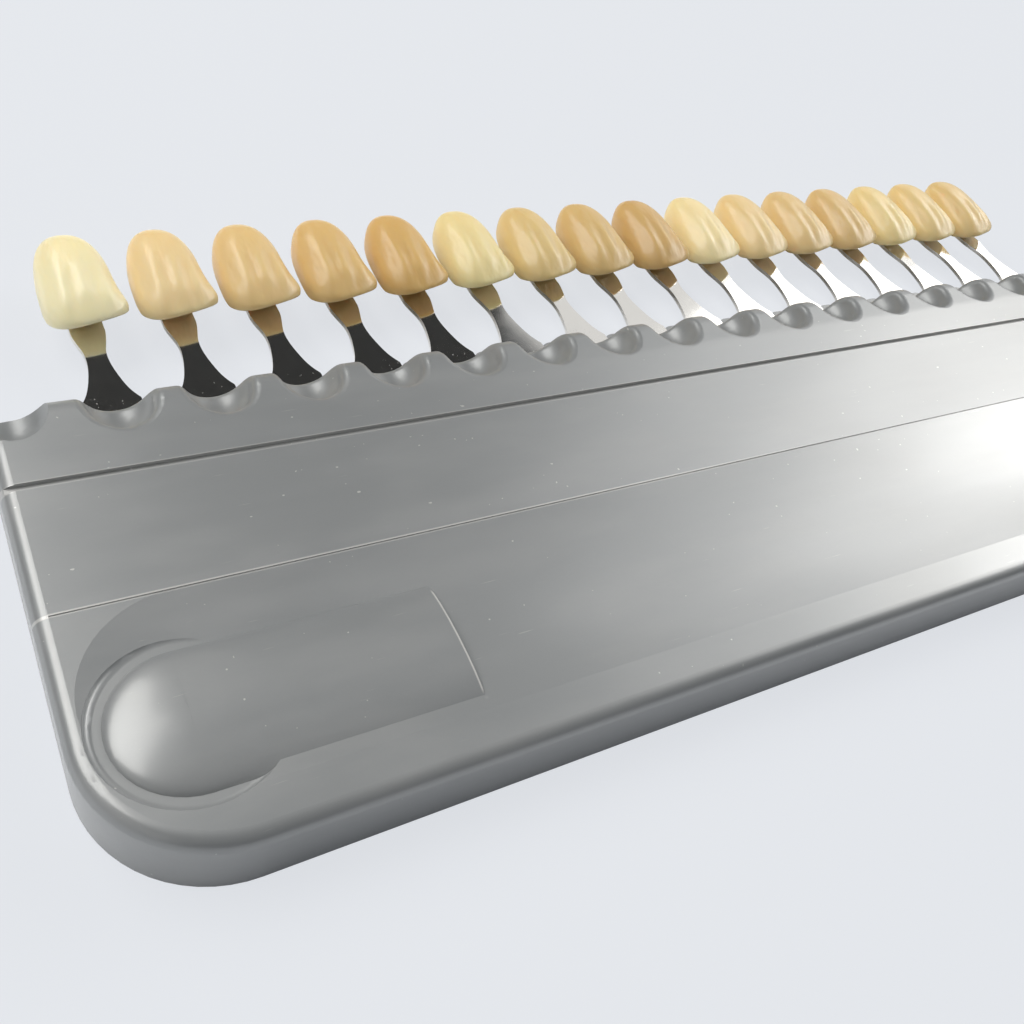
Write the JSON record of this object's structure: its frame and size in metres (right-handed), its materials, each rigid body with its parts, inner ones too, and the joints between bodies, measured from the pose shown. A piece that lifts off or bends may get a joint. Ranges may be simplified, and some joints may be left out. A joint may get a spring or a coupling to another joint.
{
  "type": "dental shade guide",
  "caption": "Flat moulded holder with a scalloped edge, from which sample teeth on slim steel strips pull out for colour matching.",
  "frame": {"origin": "middle of the whole part's box, on the face it lies on", "axes": "+X along the holder, left to right as seen from the front; +Y from the rounded front edge towards the teeth; +Z out of the face"},
  "size_m": [0.1928, 0.0842, 0.01],
  "materials": {
    "holder_front": "satin grey moulded plastic with a faint pearl",
    "holder_back": "satin grey moulded plastic",
    "strip_steel": "polished stainless steel, fine scratches",
    "tooth_01": "glazed tooth-coloured ceramic",
    "tooth_02": "glazed tooth-coloured ceramic",
    "tooth_03": "glazed tooth-coloured ceramic",
    "tooth_04": "glazed tooth-coloured ceramic",
    "tooth_05": "glazed tooth-coloured ceramic",
    "tooth_06": "glazed tooth-coloured ceramic",
    "tooth_07": "glazed tooth-coloured ceramic",
    "tooth_08": "glazed tooth-coloured ceramic",
    "tooth_09": "glazed tooth-coloured ceramic",
    "tooth_10": "glazed tooth-coloured ceramic",
    "tooth_11": "glazed tooth-coloured ceramic",
    "tooth_12": "glazed tooth-coloured ceramic",
    "tooth_13": "glazed tooth-coloured ceramic",
    "tooth_14": "glazed tooth-coloured ceramic",
    "tooth_15": "glazed tooth-coloured ceramic",
    "tooth_16": "glazed tooth-coloured ceramic"
  },
  "bodies": {
    "holder": {"front_shell": "holder_front", "back_cover": "holder_back"},
    "tab_01": {"strip_01": "strip_steel", "tooth_01": "tooth_01"},
    "tab_02": {"strip_02": "strip_steel", "tooth_02": "tooth_02"},
    "tab_03": {"strip_03": "strip_steel", "tooth_03": "tooth_03"},
    "tab_04": {"strip_04": "strip_steel", "tooth_04": "tooth_04"},
    "tab_05": {"strip_05": "strip_steel", "tooth_05": "tooth_05"},
    "tab_06": {"strip_06": "strip_steel", "tooth_06": "tooth_06"},
    "tab_07": {"strip_07": "strip_steel", "tooth_07": "tooth_07"},
    "tab_08": {"strip_08": "strip_steel", "tooth_08": "tooth_08"},
    "tab_09": {"strip_09": "strip_steel", "tooth_09": "tooth_09"},
    "tab_10": {"strip_10": "strip_steel", "tooth_10": "tooth_10"},
    "tab_11": {"strip_11": "strip_steel", "tooth_11": "tooth_11"},
    "tab_12": {"strip_12": "strip_steel", "tooth_12": "tooth_12"},
    "tab_13": {"strip_13": "strip_steel", "tooth_13": "tooth_13"},
    "tab_14": {"strip_14": "strip_steel", "tooth_14": "tooth_14"},
    "tab_15": {"strip_15": "strip_steel", "tooth_15": "tooth_15"},
    "tab_16": {"strip_16": "strip_steel", "tooth_16": "tooth_16"}
  },
  "joints": [
    {"name": "tab_01_slide", "type": "slide", "parent": "holder", "child": "tab_01", "axis": [0, 1, 0], "range_m": [0, 0.024]},
    {"name": "tab_02_slide", "type": "slide", "parent": "holder", "child": "tab_02", "axis": [0, 1, 0], "range_m": [0, 0.024]},
    {"name": "tab_03_slide", "type": "slide", "parent": "holder", "child": "tab_03", "axis": [0, 1, 0], "range_m": [0, 0.024]},
    {"name": "tab_04_slide", "type": "slide", "parent": "holder", "child": "tab_04", "axis": [0, 1, 0], "range_m": [0, 0.024]},
    {"name": "tab_05_slide", "type": "slide", "parent": "holder", "child": "tab_05", "axis": [0, 1, 0], "range_m": [0, 0.024]},
    {"name": "tab_06_slide", "type": "slide", "parent": "holder", "child": "tab_06", "axis": [0, 1, 0], "range_m": [0, 0.024]},
    {"name": "tab_07_slide", "type": "slide", "parent": "holder", "child": "tab_07", "axis": [0, 1, 0], "range_m": [0, 0.024]},
    {"name": "tab_08_slide", "type": "slide", "parent": "holder", "child": "tab_08", "axis": [0, 1, 0], "range_m": [0, 0.024]},
    {"name": "tab_09_slide", "type": "slide", "parent": "holder", "child": "tab_09", "axis": [0, 1, 0], "range_m": [0, 0.024]},
    {"name": "tab_10_slide", "type": "slide", "parent": "holder", "child": "tab_10", "axis": [0, 1, 0], "range_m": [0, 0.024]},
    {"name": "tab_11_slide", "type": "slide", "parent": "holder", "child": "tab_11", "axis": [0, 1, 0], "range_m": [0, 0.024]},
    {"name": "tab_12_slide", "type": "slide", "parent": "holder", "child": "tab_12", "axis": [0, 1, 0], "range_m": [0, 0.024]},
    {"name": "tab_13_slide", "type": "slide", "parent": "holder", "child": "tab_13", "axis": [0, 1, 0], "range_m": [0, 0.024]},
    {"name": "tab_14_slide", "type": "slide", "parent": "holder", "child": "tab_14", "axis": [0, 1, 0], "range_m": [0, 0.024]},
    {"name": "tab_15_slide", "type": "slide", "parent": "holder", "child": "tab_15", "axis": [0, 1, 0], "range_m": [0, 0.024]},
    {"name": "tab_16_slide", "type": "slide", "parent": "holder", "child": "tab_16", "axis": [0, 1, 0], "range_m": [0, 0.024]}
  ]
}
